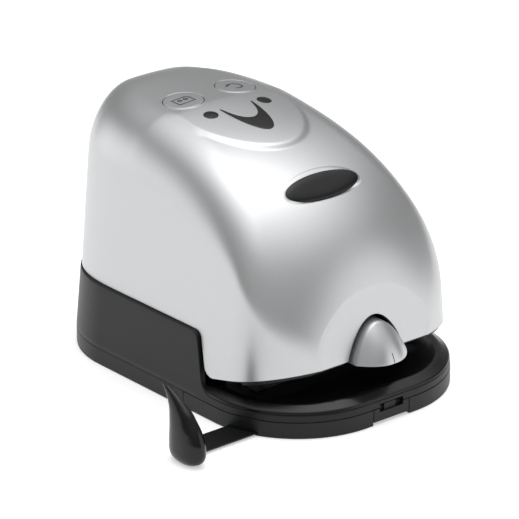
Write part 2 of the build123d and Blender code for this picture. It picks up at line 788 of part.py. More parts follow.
def idler_gear():
    """Middle gear, running on a fixed shaft."""
    body = gear(idler_spot, idler_teeth, idler_phase, -face_half, face_half)
    body += cross_rod(*idler_spot, -bracket_gap + 0.4, bracket_gap - 0.4, idler_shaft_radius + 2.5)
    return body - cross_rod(*idler_spot, -20, 20, idler_shaft_radius + running_gap)



def drive_pinion():
    """Small gear on the gearbox's output shaft."""
    body = gear(pinion_spot, pinion_teeth, pinion_phase, -face_half, face_half)
    return body - cross_rod(*pinion_spot, -20, 20, idler_shaft_radius)


def output_shaft():
    """The gearbox's output shaft."""
    return cross_rod(*pinion_spot, -face_half - 1, bracket_gap + bracket_thick, idler_shaft_radius)


def gear_bracket():
    """Folded steel bracket: two walls hold the idler's shaft, one also the gearbox."""
    iy, iz = idler_spot
    py, pz = pinion_spot
    floor = frame_foot
    right = side_prism([(-9, floor), (26, floor), (26, pz + 14), (py + 8, pz + 19), (iy - 6, iz + 14),
                        (iy - 12, iz), (iy - 6, iz - 12), (-9, iz - 22)],
                       reach=bracket_gap + bracket_thick, start=bracket_gap)
    left = side_prism([(-9, floor), (2, floor), (2, iz - 18), (iy + 8, iz + 7), (iy - 6, iz + 9),
                       (iy - 10, iz), (iy - 4, iz - 12), (-9, iz - 22)],
                      reach=-bracket_gap, start=-bracket_gap - bracket_thick)
    base = slab(bracket_gap, 27, -9, 26, floor, floor + bracket_thick)
    tie = slab(-bracket_gap - bracket_thick, bracket_gap + 1, -9, 2, floor, floor + bracket_thick)
    body = right + left + base + tie
    body -= cross_rod(iy, iz, -20, 20, idler_shaft_radius)
    body -= cross_rod(py, pz, 0, 20, idler_shaft_radius + 2.5)
    for x, y in bracket_spots:
        body -= rod(x, y, 0, 30, screw_radius + fit_gap)
    return body


def drive_motor():
    """Can motor with a rear boss and two flats."""
    x0 = bracket_gap + bracket_thick + gearbox_length
    can = cross_rod(*pinion_spot, x0, x0 + motor_length, motor_radius)
    flats = slab(x0, x0 + motor_length, -60, 60, pinion_spot[1] - 13.5, pinion_spot[1] + 13.5)
    return (can & flats) + cross_rod(*pinion_spot, x0, x0 + motor_length + 2, 5)


def gearbox():
    """Round reduction gearbox on the motor's nose."""
    x0 = bracket_gap + bracket_thick
    body = cross_rod(*pinion_spot, x0, x0 + gearbox_length, gearbox_radius)
    return body - cross_rod(*pinion_spot, x0 - 1, x0 + 1.5, idler_shaft_radius + 2.5)


def housing_screw(x, y):
    """Long screw from below that holds the cover to the bottom."""
    return rod(x, y, 3.9, 52, screw_radius) + rod(x, y, 1.5, 3.9, screw_head)


def post_screw(x, y, seat):
    """Short screw down into a post, its head on the plate that it holds."""
    return rod(x, y, 5, seat, screw_radius - 0.3) + rod(x, y, seat, seat + 2, screw_head)


# ---------------------------------------------------------------- electrics
def power_socket():
    """Low-voltage inlet at the rear: a block with a round hole."""
    back = base_rear - 1.2
    body = slab(socket_x - 5.4, socket_x + 5.4, back - 13, back - 1, socket_z - 5.4, socket_z + 5.4)
    hole = Rot(90, 0, 0) * Cylinder(socket_radius, socket_depth)
    return body - Pos(socket_x, back - 1 - socket_depth / 2, socket_z) * hole


def control_board():
    """Circuit board on four posts."""
    board = slab(-30, 30, 32, 62, frame_foot, board_top)
    for x, y in board_spots:
        board -= rod(x, y, 0, 30, screw_radius + fit_gap)
    return board


def board_parts():
    """Capacitor, relay, driver with its heat sink, and plug header."""
    return [rod(-16, 47, board_top, board_top + 14, 5), slab(-6, 10, 40, 52, board_top, board_top + 10),
            slab(15, 17, 38, 52, board_top, board_top + 16), slab(-29, -24, 42, 52, board_top, board_top + 6)]


def switch_board():
    """Circuit board under the controls."""
    board = slab(-board_half, board_half, 3, 53, switch_board_top - 1.6, switch_board_top)
    for x, y in board_screws:
        board -= rod(x, y, 90, 130, 1.1)
    return board


def tact_switch(x):
    """Square push switch with a round plunger."""
    body = slab(x - 3, x + 3, button_y - 3, button_y + 3, switch_board_top, switch_board_top + 3.0)
    return body + rod(x, button_y, switch_board_top + 3.0, switch_board_top + 3.7, 1.7)


def lamp(x):
    """Small round lamp under a lens."""
    return rod(x, lens_y, switch_board_top, switch_board_top + 3.6, 2.5)


# ---------------------------------------------------------------- build and write
def write(name, shape):
    """Write one node; a list becomes a group of separate solids."""
    if isinstance(shape, list):
        solids = [s for item in shape for s in item.solids()]
        shape = Compound(children=solids)
    shape.label = name
    export_step(shape, f"parts/{name}.step")


def main():
    outer = hood()
    write("top_cover", top_cover(outer))
    write("crescent_inlay", crescent_inlay(outer))
    write("badge_plate", badge_plate())
    write("indicator_lens_left", indicator_lens(-1, outer))
    write("indicator_lens_right", indicator_lens(1, outer))
    write("punch_button", button(-1, outer))
    write("reverse_button", button(1, outer))
    for name, side in (("punch_button_spring", -1), ("reverse_button_spring", 1)):
        write(name, coil(side * button_x, button_y, switch_board_top, 118.6, 5.5, 0.4, 4))
    write("centre_guide", centre_guide())
    write("throat_roof", throat_roof())
    write("base_housing", base_housing())
    write("front_deck", front_deck())
    write("bottom_cover", bottom_cover())
    write("rubber_strips", [rubber_strip(y) for y in strip_places])
    write("chip_tray", chip_tray())
    write("tray_feet", [rod(x, y, 0, strip_top, tray_foot_radius) for x, y in tray_feet_spots])
    write("tray_latch", tray_latch())
    write("paper_guide_bar", guide_bar())
    write("guide_leaf", guide_leaf())
    write("punch_frame", punch_frame())
    write("frame_cheeks", both_sides(frame_cheek()))
    write("die_holder", die_holder())
    write("die_plate", die_plate())
    spots = (-hole_spacing / 2, hole_spacing / 2)
    write("guide_bushes", [guide_bush(x) for x in spots])
    write("punch_pins", [punch_pin(x) for x in spots])
    write("pin_clips", [pin_clip(x) for x in spots])
    write("return_springs", [coil(x, punch_line, guide_plate_top + 1.5, carriage_low,
                                  bush_radius + 0.8, spring_wire, 4) for x in spots])
    write("punch_carriage", carriage())
    write("cam_shaft", cross_rod(*shaft_spot, -cheek_x - 6, cheek_x + 6, shaft_radius))
    write("punch_cams", [cam(x) for x in (-cam_x, cam_x)])
    write("cam_gear", cam_gear())
    ring = (cross_rod(*shaft_spot, cheek_x, cheek_x + cheek_thick, shaft_radius + 2)
            + cross_rod(*shaft_spot, cheek_x - 1.5, cheek_x, shaft_radius + 3.5)
            - cross_rod(*shaft_spot, 0, 90, shaft_radius + running_gap))
    write("cam_bearings", both_sides(ring))
    clip = cross_rod(*shaft_spot, cheek_x + 4, cheek_x + 5, 6) - cross_rod(*shaft_spot, 0, 90, shaft_radius)
    write("shaft_clips", both_sides(clip))
    write("idler_gear", idler_gear())
    write("idler_shaft", cross_rod(*idler_spot, -bracket_gap - bracket_thick, bracket_gap + bracket_thick,
                                   idler_shaft_radius))
    write("drive_pinion", drive_pinion())
    write("output_shaft", output_shaft())
    write("gear_bracket", gear_bracket())
    write("drive_motor", drive_motor())
    write("motor_gearbox", gearbox())
    write("power_socket", power_socket())
    write("control_board", control_board())
    write("board_parts", board_parts())
    write("switch_board", switch_board())
    write("tact_switches", [tact_switch(x * button_x) for x in (-1, 1)])
    write("indicator_lamps", [lamp(x * lens_x) for x in (-1, 1)])
    write("housing_screws", [side for x, y in post_spots for side in both_sides(housing_screw(x, y))])
    write("frame_screws", [post_screw(x, y, frame_foot + frame_flange) for x, y in frame_spots])
    write("bracket_screws", [post_screw(x, y, frame_foot + bracket_thick) for x, y in bracket_spots])
    write("board_fixings", [post_screw(x, y, board_top) for x, y in board_spots])


main()
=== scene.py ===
"""Electric hole punch: the visible surfaces, their finishes, the studio and the camera."""
import bmesh
import bpy
import json
import math
import numpy as np
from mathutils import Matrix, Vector


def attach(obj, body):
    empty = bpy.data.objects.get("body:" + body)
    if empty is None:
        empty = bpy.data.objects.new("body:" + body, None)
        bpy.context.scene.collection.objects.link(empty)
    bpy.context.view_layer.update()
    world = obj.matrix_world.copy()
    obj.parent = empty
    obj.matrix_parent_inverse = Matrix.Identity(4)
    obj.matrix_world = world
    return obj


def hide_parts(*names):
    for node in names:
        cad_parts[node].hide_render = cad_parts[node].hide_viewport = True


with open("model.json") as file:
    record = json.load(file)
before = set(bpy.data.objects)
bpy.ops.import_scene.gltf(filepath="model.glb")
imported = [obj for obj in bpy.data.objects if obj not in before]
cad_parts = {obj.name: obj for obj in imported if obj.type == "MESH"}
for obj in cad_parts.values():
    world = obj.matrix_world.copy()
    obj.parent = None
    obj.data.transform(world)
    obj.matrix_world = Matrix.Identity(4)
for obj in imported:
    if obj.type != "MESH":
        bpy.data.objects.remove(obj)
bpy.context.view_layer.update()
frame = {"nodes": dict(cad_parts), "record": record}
nodes = frame["nodes"]
MM = 0.001

# ---------------------------------------------------------------- sizes of the silver cover, in mm
FOOT = 20.0                 # height that the arches are measured from
HALF = 62.8                 # half-width at the foot
LEAN = math.radians(6.3)
HEIGHT = 105.1
FRONT, FRONT_BEND, FRONT_POWER = -88.25, -50.4, 2.27
REAR, REAR_BEND, REAR_POWER = 90.0, 36.0, 2.6
REAR_FACE = 89.4
END_ROUND = 6.0
REAR_LINE, REAR_SWELL = 0.86, 0.5     # height share of the rear wall's middle line, bulge of the wall
HOOD_START, HOOD_END, HOOD_DROP, HOOD_POWER = 31.6, -90.0, 27.3, 1.28
NOSE_START, NOSE_CLOSE, NOSE_POWER = 10.0, -86.0, 2.85
ROUND_START, ROUND_CLOSE, ROUND_POWER = 50.7, 101.6, 4.8
SAG_REAR, SAG_FRONT, SAG_POWER = 9.0, 60.0, 3.95
EDGE_REAR, EDGE_FRONT, EDGE_SPAN = 32.4, 26.0, 85.0
FACET_FOOT, FACET_LEAN, FACET_SEARCH = -85.4, 0.12, -70.0
FACET_BORDER, FACET_STEP = 0.45, 0.16     # width and depth of the step round the facet
WALL = 2.3
LIP_CORNER, LIP_LOW, LIP_RISE, LIP_ROUND = -36.4, 19.4, 0.231, 6.0
# the housing: outline of the base, heights of its seams, the skirt's front edge in side view
BASE_HALF, BASE_FRONT, BASE_REAR, BASE_CORNER = 65.0, -95.5, 92.5, 50.0
BAND_TOP, RIM_TOP, SKIRT_TOP, SKIRT_WALL = 8.4, 12.0, 40.0, 2.8
SKIRT_DRAFT = math.radians(4.7)
SKIRT_EDGE_TOP, SKIRT_EDGE_LOW, SKIRT_FOOT, SKIRT_TOE, SKIRT_CORNER = -29.5, -34.8, 17.0, -43.0, 4.5
SEAM_ROUND, SKIRT_ROUND, INNER_ROUND = 0.25, 0.7, 0.4
CATCH_HALF, CATCH_LOW, CATCH_TOP = 7.2, 5.0, 10.2
INLET_LEFT, INLET_RIGHT, INLET_LOW, INLET_TOP = 1.5, 12.5, 18.5, 29.5
PANEL_HALF, PANEL_REACH, PANEL_CENTRE, PANEL_SHIFT = 31.0, 42.0, 20.0, 4.6
ARCH_HALF, ARCH_TOP, ARCH_BASE, ARCH_POWER = 16.8, 48.9, 29.3, 0.87
NOSE_HALF, NOSE_TOP, NOSE_EDGE, NOSE_LEAN, NOSE_BULGE = 15.6, 46.3, -88.0, 3.0, 9.2
NOSE_ROOT, NOSE_FLARE, NOSE_SOFT, NOSE_RISE = -77.0, 0.03, 0.35, 0.9
MARK_HALF, MARK_TOP, MARK_LIFT, MARK_DEPTH, MARK_HEIGHT = 0.24, 0.17, 0.06, 0.5, 4.6
KEY_X, KEY_Y, KEY_RADIUS, KEY_LIFT, KEY_DOME = 15.9, 36.8, 9.8, 0.05, 0.05
PRINT_LIFT, PRINT_FILM = 0.05, 0.02
BEAD_OUT, BEAD_HALF, BEAD_HEIGHT, BEAD_SINK, BEAD_ROOT = 0.75, 0.42, 0.11, 0.02, 1.4
LENS_X, LENS_Y, LENS_RADIUS = 16.3, 15.7, 3.5
BADGE_Y, BADGE_HALF, BADGE_RISE = -46.0, 21.8, 7.0
BADGE_SLOPE = math.radians(41)            # 8 degrees steeper than the hood
BADGE_SINK, BADGE_SHARE, BADGE_LIFT, BADGE_DOME = 1.1, 0.985, 0.15, 0.75
SEAT_Y, SEAT_HALF, SEAT_RISE, SEAT_LAP = BADGE_Y + 0.9, BADGE_HALF + 1.5, 7.8, 0.2
INLAY_RIM, INLAY_LIFT, INLAY_ROUND, INLAY_DEPTH = 0.08, 0.05, 0.16, 0.8
GRIP_X, GRIP_HALF, GRIP_FRONT, GRIP_BACK = -100.8, 5.9, -81.2, -59.0
GRIP_LOW, GRIP_HEIGHT, GRIP_POWER = 0.3, 33.2, 0.93


# ---------------------------------------------------------------- colour and node helpers
def linear(code):
    """A hex sRGB colour as linear red, green, blue and alpha."""
    parts = [int(code[i:i + 2], 16) / 255 for i in (1, 3, 5)]
    return [p / 12.92 if p <= 0.04045 else ((p + 0.055) / 1.055) ** 2.4 for p in parts] + [1.0]


def add(tree, kind, links=None, **settings):
    """Adds a node, gives it its settings and connects its inputs."""
    node = tree.nodes.new(kind)
    for key, value in settings.items():
        if key.startswith("in_"):
            node.inputs[key[3:].replace("_", " ")].default_value = value
        else:
            setattr(node, key, value)
    for key, source in (links or {}).items():
        tree.links.new(source, node.inputs[key])
    return node


def plain(name, colour, roughness, metallic=0.0, **extra):
    """A Principled surface with its colour and gloss; the rest is added by each finish."""
    material = bpy.data.materials.new(name)
    material.use_nodes = True
    tree = material.node_tree
    shader = tree.nodes["Principled BSDF"]
    shader.inputs["Base Color"].default_value = linear(colour)
    shader.inputs["Roughness"].default_value = roughness
    shader.inputs["Metallic"].default_value = metallic
    for key, value in extra.items():
        shader.inputs[key.replace("_", " ")].default_value = value
    place = add(tree, "ShaderNodeTexCoord").outputs["Object"]
    return material, tree, shader, place


def grained(tree, shader, place, grain_mm, depth_mm, colours=None, roughness=None, detail=3.0):
    """Fine grain: one noise drives the bump, and where asked the colour and the roughness."""
    noise = add(tree, "ShaderNodeTexNoise", {"Vector": place}, in_Scale=1 / (grain_mm * MM), in_Detail=detail)
    bump = add(tree, "ShaderNodeBump", {"Height": noise.outputs["Fac"]}, in_Distance=depth_mm * MM,
               in_Strength=1.0)
    tree.links.new(bump.outputs["Normal"], shader.inputs["Normal"])
    if colours:
        ramp = add(tree, "ShaderNodeMix", {"Factor": noise.outputs["Fac"]}, data_type="RGBA")
        ramp.inputs[6].default_value = linear(colours[0])
        ramp.inputs[7].default_value = linear(colours[1])
        tree.links.new(ramp.outputs[2], shader.inputs["Base Color"])
    if roughness:
        spread = add(tree, "ShaderNodeMapRange", {"Value": noise.outputs["Fac"]}, in_To_Min=roughness[0],
                     in_To_Max=roughness[1])
        tree.links.new(spread.outputs["Result"], shader.inputs["Roughness"])
    return noise


def silver_paint():
    """Sprayed metallic lacquer on ABS: aluminium flakes give a soft sheen with a faint sparkle."""
    material, tree, shader, place = plain("sprayed_silver_lacquer", "#c2c3c4", 0.33, 0.86)
    # flakes are near 0.05 mm; drawn at 0.3 mm so that the render can show them
    grained(tree, shader, place, 0.3, 0.0016, ("#b9babb", "#cbcccd"), (0.30, 0.40), 2.0)
    return material


def charcoal_abs():
    """Moulded ABS with a fine spark-eroded texture: a soft satin that greys at the edges of light."""
    material, tree, shader, place = plain("satin_charcoal_abs", "#111213", 0.42, Specular_IOR_Level=0.32)
    grained(tree, shader, place, 0.5, 0.006, ("#0f1011", "#151617"), (0.38, 0.48), 3.0)
    return material


def gloss_black_abs():
    """Polished ABS: near black with clear reflections and a slight moulding ripple."""
    material, tree, shader, place = plain("polished_black_abs", "#09090a", 0.22, Specular_IOR_Level=0.35)
    grained(tree, shader, place, 9.0, 0.01, None, (0.19, 0.26), 1.0)
    return material


def smoked_acrylic():
    """Tinted acrylic lens: dark, glossy, a little grey inside."""
    material, tree, shader, place = plain("smoked_acrylic", "#121314", 0.15, Specular_IOR_Level=0.3)
    grained(tree, shader, place, 1.2, 0.002, ("#101112", "#18191b"), None, 1.0)
    return material


def moulded_rubber():
    """Moulded rubber: matte, dusty at the grain."""
    material, tree, shader, place = plain("moulded_rubber", "#161616", 0.85)
    grained(tree, shader, place, 0.6, 0.02, ("#121212", "#1d1d1d"), (0.75, 0.92), 4.0)
    return material


def zinc_plate():
    """Zinc-plated sheet steel: bright grey with a fine rolled grain."""
    material, tree, shader, place = plain("zinc_plated_steel", "#b8bab8", 0.35, 1.0)
    grained(tree, shader, place, 0.8, 0.004, ("#aeb0ae", "#c3c4c0"), (0.28, 0.45), 4.0)
    return material


def ground_steel():
    """Hardened and ground tool steel: darker, with fine grinding lines."""
    material, tree, shader, place = plain("ground_tool_steel", "#8f9092", 0.25, 1.0)
    grained(tree, shader, place, 0.4, 0.002, ("#858688", "#9a9b9d"), (0.2, 0.32), 2.0)
    return material


def sintered_bronze():
    """Oil-soaked sintered bronze: brown gold with open pores."""
    material, tree, shader, place = plain("sintered_bronze", "#a9824c", 0.42, 1.0)
    grained(tree, shader, place, 0.35, 0.01, ("#98733f", "#b8905a"), (0.36, 0.55), 4.0)
    return material


def natural_nylon():
    """Moulded nylon: milky white, waxy."""
    material, tree, shader, place = plain("natural_nylon", "#e6e3d8", 0.45, Subsurface_Weight=0.1)
    grained(tree, shader, place, 1.5, 0.004, ("#e0dccf", "#ebe8de"), (0.4, 0.5), 3.0)
    return material


def solder_mask():
    """Glass-epoxy board under green lacquer."""
    material, tree, shader, place = plain("green_solder_mask", "#1d5b35", 0.3)
    grained(tree, shader, place, 1.0, 0.006, ("#18502e", "#23653c"), (0.25, 0.4), 2.0)
    return material


def printed_ink(name, colour):
    """Pad-printed ink: a thin satin film."""
    material, tree, shader, place = plain(name, colour, 0.5)
    grained(tree, shader, place, 0.2, 0.001, None, (0.42, 0.58), 2.0)
    return material


finish = {
    "silver_paint": silver_paint(), "gloss_black": gloss_black_abs(), "smoked_lens": smoked_acrylic(),
    "charcoal_plastic": charcoal_abs(), "black_rubber": moulded_rubber(), "plated_steel": zinc_plate(),
    "hard_steel": ground_steel(), "spring_steel": ground_steel(), "bronze": sintered_bronze(),
    "white_nylon": natural_nylon(), "green_board": solder_mask(),
}
ink = printed_ink("dark_pad_print", "#3a3c3e")
slots = {part["node"]: part["material_slot"] for part in frame["record"]["subparts"]}
body_of_node = {n: b for b, members in frame["record"]["behaviour"]["bodies"].items() for n in members}


# ---------------------------------------------------------------- mesh helpers
def grid_faces(rows, columns, wrap=False):
    """Quads of a grid stored row by row; wrap joins the last column to the first."""
    index = np.arange(rows * columns).reshape(rows, columns)
    right = np.roll(index, -1, axis=1) if wrap else index[:, 1:]
    left = index if wrap else index[:, :-1]
    return np.stack([left[:-1], right[:-1], right[1:], left[1:]], axis=-1).reshape(-1, 4)


def ring_faces(rows, sides, far_lid=True):
    """Quads between closed rings, with a lid on the first ring and, where asked, on the last."""
    faces = [list(f) for f in grid_faces(rows, sides, True)] + [list(range(sides))[::-1]]
    return faces + [list(range((rows - 1) * sides, rows * sides))] if far_lid else faces


def piece(name, points, faces, slot, body, stands_for=(), material=None, sharp=35.0, merge=1e-6):
    """Makes one object from points in mm and a list of faces, and gives it its finish and its body."""
    mesh = bpy.data.meshes.new(name)
    places = (np.asarray(points).reshape(-1, 3) * MM).tolist()
    mesh.from_pydata(places, [], [list(map(int, f)) for f in faces])
    tool = bmesh.new()
    tool.from_mesh(mesh)
    bmesh.ops.remove_doubles(tool, verts=tool.verts, dist=merge)
    bmesh.ops.recalc_face_normals(tool, faces=tool.faces)
    tool.to_mesh(mesh)
    tool.free()
    return dress(bpy.data.objects.new(name, mesh), slot, body, stands_for, material, sharp)


def dress(thing, slot, body, stands_for=(), material=None, sharp=35.0):
    """Links an object, smooths it between its sharp edges, gives it its finish and body, and hides the CAD
    parts it stands for.
    """
    if thing.name not in bpy.context.scene.collection.objects:
        bpy.context.scene.collection.objects.link(thing)
    mesh = thing.data
    mesh.materials.clear()
    mesh.materials.append(material or finish[slot])
    mesh.shade_smooth()
    mesh.set_sharp_from_angle(angle=math.radians(sharp))
    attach(thing, body)
    if stands_for:
        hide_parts(*stands_for)
    return thing


def modifier(thing, kind, name, **settings):
    """Adds a modifier with its settings."""
    made = thing.modifiers.new(name, kind)
    for key, value in settings.items():
        setattr(made, key, value)
    return made


def softened(node, width_mm, segments=2, angle=32.0):
    """A CAD piece with its edges rounded: its mesh is merged, flat areas joined, then bevelled."""
    source = nodes[node]
    mesh = source.data.copy()
    tool = bmesh.new()
    tool.from_mesh(mesh)
    bmesh.ops.remove_doubles(tool, verts=tool.verts, dist=2e-6)
    bmesh.ops.dissolve_limit(tool, angle_limit=math.radians(0.3), verts=tool.verts, edges=tool.edges)
    tool.to_mesh(mesh)
    tool.free()
    thing = bpy.data.objects.new(node + "_finished", mesh)
    dress(thing, slots[node], body_of_node[node], (node,))
    modifier(thing, "BEVEL", "edges", width=width_mm * MM, segments=segments, limit_method="ANGLE",
             angle_limit=math.radians(angle), use_clamp_overlap=True)
    modifier(thing, "WEIGHTED_NORMAL", "even_light", keep_sharp=True)
    return thing


# ---------------------------------------------------------------- the cover's form
def plan_half(y):
    """Half-width of the cover at y: straight sides, ends rounded as (1 - t^n)^(1/n)."""
    t_front = (FRONT_BEND - y) / (FRONT_BEND - FRONT)
    t_rear = np.clip((y - REAR_BEND) / (REAR - REAR_BEND), 0, 1)
    t = np.where(y < FRONT_BEND, t_front, t_rear)
    power = np.where(y < FRONT_BEND, FRONT_POWER, REAR_POWER)
    return HALF * (1 - np.clip(t, 0, 1) ** power) ** (1 / power)


def hood_share(y):
    """Share of the hood's falling length at y: 0 where it starts to fall, 1 at its front end."""
    return np.clip((HOOD_START - y) / (HOOD_START - HOOD_END), 0, 2)


def crown_height(y):
    """Height of the middle line: a falling hood, closed by a power curve at each end, its rear edge round."""
    drop = HOOD_DROP * hood_share(y) ** HOOD_POWER
    front = np.clip((NOSE_START - y) / (NOSE_START - NOSE_CLOSE), 0, 1) ** NOSE_POWER
    rear = np.clip((y - ROUND_START) / (ROUND_CLOSE - ROUND_START), 0, 1) ** ROUND_POWER
    end = np.clip(y - (REAR_FACE - END_ROUND), 0, END_ROUND)
    edge = END_ROUND - np.sqrt(END_ROUND ** 2 - end ** 2)
    return (HEIGHT - drop) * (1 - front) ** (1 / NOSE_POWER) * (1 - rear) ** (1 / ROUND_POWER) - edge


def section(y):
    """Each arch's crown radius and centre height, its edge arc's centre, radius and its two end angles."""
    width = plan_half(y)
    height = crown_height(y)
    sag = SAG_REAR + (SAG_FRONT - SAG_REAR) * hood_share(y) ** SAG_POWER
    # near both ends the crown and the edge arc shrink with the arch, by these shares of its size
    sag = np.minimum(sag * (width / HALF) ** 2, 0.6 * height)
    radius = EDGE_FRONT + (EDGE_REAR - EDGE_FRONT) * np.clip((y + EDGE_SPAN) / (2 * EDGE_SPAN), 0, 1)
    radius = np.minimum(np.minimum(radius, 0.6 * width), 0.75 * (height - sag))
    crown = (width ** 2 + sag ** 2) / (2 * sag)
    lean = LEAN * width / HALF
    a = width - radius / np.cos(lean)
    b = np.tan(lean)
    k = height - crown
    qa = 1 + b * b
    qb = a * b + k
    qc = a * a + k * k - (crown - radius) ** 2
    cz = (qb + np.sqrt(np.maximum(qb * qb - qa * qc, 0))) / qa
    cx = a - b * cz
    return crown, k, cx, cz, radius, lean, np.arctan2(cz - k, cx)


def arch_point(y, part, v):
    """Point of an arch's right half: part 0 is the side, 1 the edge arc, 2 the crown; v is 0 to 1 in each."""
    crown, k, cx, cz, radius, lean, up = section(y)
    side_top_x = cx + radius * np.cos(lean)
    side_top_z = cz + radius * np.sin(lean)
    low = lip(y) - FOOT
    z_side = low + (side_top_z - low) * v
    x_side = side_top_x + (side_top_z - z_side) * np.tan(lean)
    angle = lean + (up - lean) * v
    x_edge = cx + radius * np.cos(angle)
    z_edge = cz + radius * np.sin(angle)
    top = up + (math.pi / 2 - up) * v
    x_top = crown * np.cos(top)
    z_top = k + crown * np.sin(top)
    x = np.where(part == 0, x_side, np.where(part == 1, x_edge, x_top))
    z = np.where(part == 0, z_side, np.where(part == 1, z_edge, z_top))
    return x, z + FOOT


def rounded_path(corners, radii, count=14):
    """Side view polyline with an arc in each inner corner."""
    path = [np.array(corners[0], float)]
    for before, corner, after, radius in zip(corners, corners[1:], corners[2:], radii):
        corner = np.array(corner, float)
        back = (np.array(before) - corner) / np.linalg.norm(np.array(before) - corner)
        on = (np.array(after) - corner) / np.linalg.norm(np.array(after) - corner)
        half = math.acos(np.clip(back @ on, -1, 1)) / 2
        reach = radius / math.tan(half)
        middle = corner + (back + on) / np.linalg.norm(back + on) * radius / math.sin(half)
        first, last = corner + back * reach - middle, corner + on * reach - middle
        turn = math.pi - 2 * half
        for t in np.linspace(0, 1, count):
            blend = first * math.sin((1 - t) * turn) + last * math.sin(t * turn)
            path.append(middle + blend / math.sin(turn))
    path.append(np.array(corners[-1], float))
    return np.array(path)


def lip(y):
    """Height of the cover's lower edge: level over the skirt, a slanting step, then a rise to the front."""
    front = FRONT - 5
    path = rounded_path([(front, LIP_LOW + LIP_RISE * (LIP_CORNER - front)), (LIP_CORNER, LIP_LOW),
                         (SKIRT_EDGE_TOP - 0.6, SKIRT_TOP + 0.3), (REAR + 20, SKIRT_TOP + 0.3)],
                        [LIP_ROUND, SKIRT_CORNER + 0.5])
    return np.interp(y, path[:, 0], path[:, 1])


def skirt_top(y):
    """Height of the housing's upper edge: low rim, a sweep up the skirt's front edge, a rounded corner."""
    t = np.linspace(0, 1, 20)[:, None]
    toe, bend, low = [np.array(p, float) for p in ((SKIRT_TOE, RIM_TOP), (SKIRT_EDGE_LOW - 3, RIM_TOP),
                                                   (SKIRT_EDGE_LOW, SKIRT_FOOT))]
    sweep = (1 - t) ** 2 * toe + 2 * t * (1 - t) * bend + t * t * low
    edge = rounded_path([low, (SKIRT_EDGE_TOP, SKIRT_TOP), (SKIRT_EDGE_TOP + 20, SKIRT_TOP)], [SKIRT_CORNER])
    path = np.concatenate([[[BASE_FRONT - 5, RIM_TOP]], sweep, edge[1:], [[BASE_REAR + 5, SKIRT_TOP]]])
    return np.interp(y, path[:, 0], path[:, 1])


def base_path():
    """Points and outward directions round the base's outline, closer together beside the skirt's edge."""
    x0, front, rear = BASE_HALF - BASE_CORNER, BASE_FRONT + BASE_CORNER, BASE_REAR - BASE_CORNER
    sweep_from, sweep_to = SKIRT_TOE - 1, SKIRT_EDGE_TOP + 7
    places = np.concatenate([np.arange(front, sweep_from, 1.5), np.arange(sweep_from, sweep_to, 0.3),
                             np.arange(sweep_to, rear, 3.0)])
    arc_step = 1.2
    arc_count = int(BASE_CORNER * math.pi / 2 / arc_step)
    points, ways = [], []

    def straight(side, along):
        """One long side, at the given places."""
        for y in along:
            points.append((side * BASE_HALF, y))
            ways.append((side, 0))

    def corner(x, y, start):
        """A quarter round about a centre, from a start angle in degrees."""
        for a in np.radians(np.linspace(start, start + 90, arc_count)):
            points.append((x + BASE_CORNER * math.cos(a), y + BASE_CORNER * math.sin(a)))
            ways.append((math.cos(a), math.sin(a)))

    straight(1, places)
    corner(x0, rear, 0)
    corner(-x0, rear, 90)
    straight(-1, places[::-1])
    corner(-x0, front, 180)
    corner(x0, front, 270)
    points, ways = np.array(points), np.array(ways, float)
    keep = np.linalg.norm(points - np.roll(points, 1, axis=0), axis=1) > 0.05
    return points[keep], ways[keep]


def housing():
    """Rim and skirt: a wall carried round the base's outline, its upper edge rounded on both sides."""
    points, ways = base_path()
    top = skirt_top(points[:, 1])
    lean = math.tan(SKIRT_DRAFT)
    rows = []

    def row(inset, z):
        """One ring of the wall: the outline drawn in by an inset and by the draft at its height."""
        drawn = inset + (z - BAND_TOP) * lean
        rows.append(np.column_stack([points - ways * drawn[:, None], z]))

    low = np.full(len(points), BAND_TOP)
    row(SEAM_ROUND, low)
    row(0.0, low + SEAM_ROUND)
    for share in np.linspace(0, 1, 12)[1:]:
        row(0.0, low + SEAM_ROUND + (top - SKIRT_ROUND - low - SEAM_ROUND) * share)
    for t in np.linspace(0, math.pi / 2, 5)[1:]:
        row(SKIRT_ROUND * (1 - math.cos(t)), top - SKIRT_ROUND * (1 - math.sin(t)))
    for t in np.linspace(math.pi / 2, 0, 5):
        row(SKIRT_WALL - INNER_ROUND * (1 - math.cos(t)), top - INNER_ROUND * (1 - math.sin(t)))
    row(SKIRT_WALL, low)
    rows.append(rows[0])
    made = piece("housing_shell", np.stack(rows), grid_faces(len(rows), len(points), True),
                 "charcoal_plastic", "housing", ("base_housing",), sharp=50)
    # the recess of the tray's catch at the front, the opening of the inlet at the rear
    cut(made, block_cutter(-CATCH_HALF, CATCH_HALF, BASE_FRONT - 2, BASE_FRONT + 8, CATCH_LOW, CATCH_TOP))
    cut(made, block_cutter(INLET_LEFT, INLET_RIGHT, 60, 100, INLET_LOW, INLET_TOP))
    dress(made, "charcoal_plastic", "housing", sharp=50)
    return made


def hood_top(x, y):
    """Height of the hood's crown above a point of the plan."""
    crown, k = section(y)[:2]
    return FOOT + k + np.sqrt(np.maximum(crown ** 2 - x ** 2, 0))


def panel_share(x, y):
    """1 on the raised panel, 0 off it, with a rounded step at its oval edge."""
    reach = np.sqrt((x / PANEL_HALF) ** 2 + ((y - PANEL_CENTRE) / PANEL_REACH) ** 2)
    t = np.clip((1.02 - reach) / 0.075, 0, 1)
    return t * t * (3 - 2 * t)


def surface(x, y):
    """Height of the finished top: the hood, and inside the panel the same hood moved forward."""
    base = hood_top(x, y)
    return base + panel_share(x, y) * (hood_top(x, np.minimum(y + PANEL_SHIFT, 80)) - base)


def facet_y(z):
    """Place of the flat front facet at a height."""
    return FACET_FOOT + FACET_LEAN * (z - FOOT)


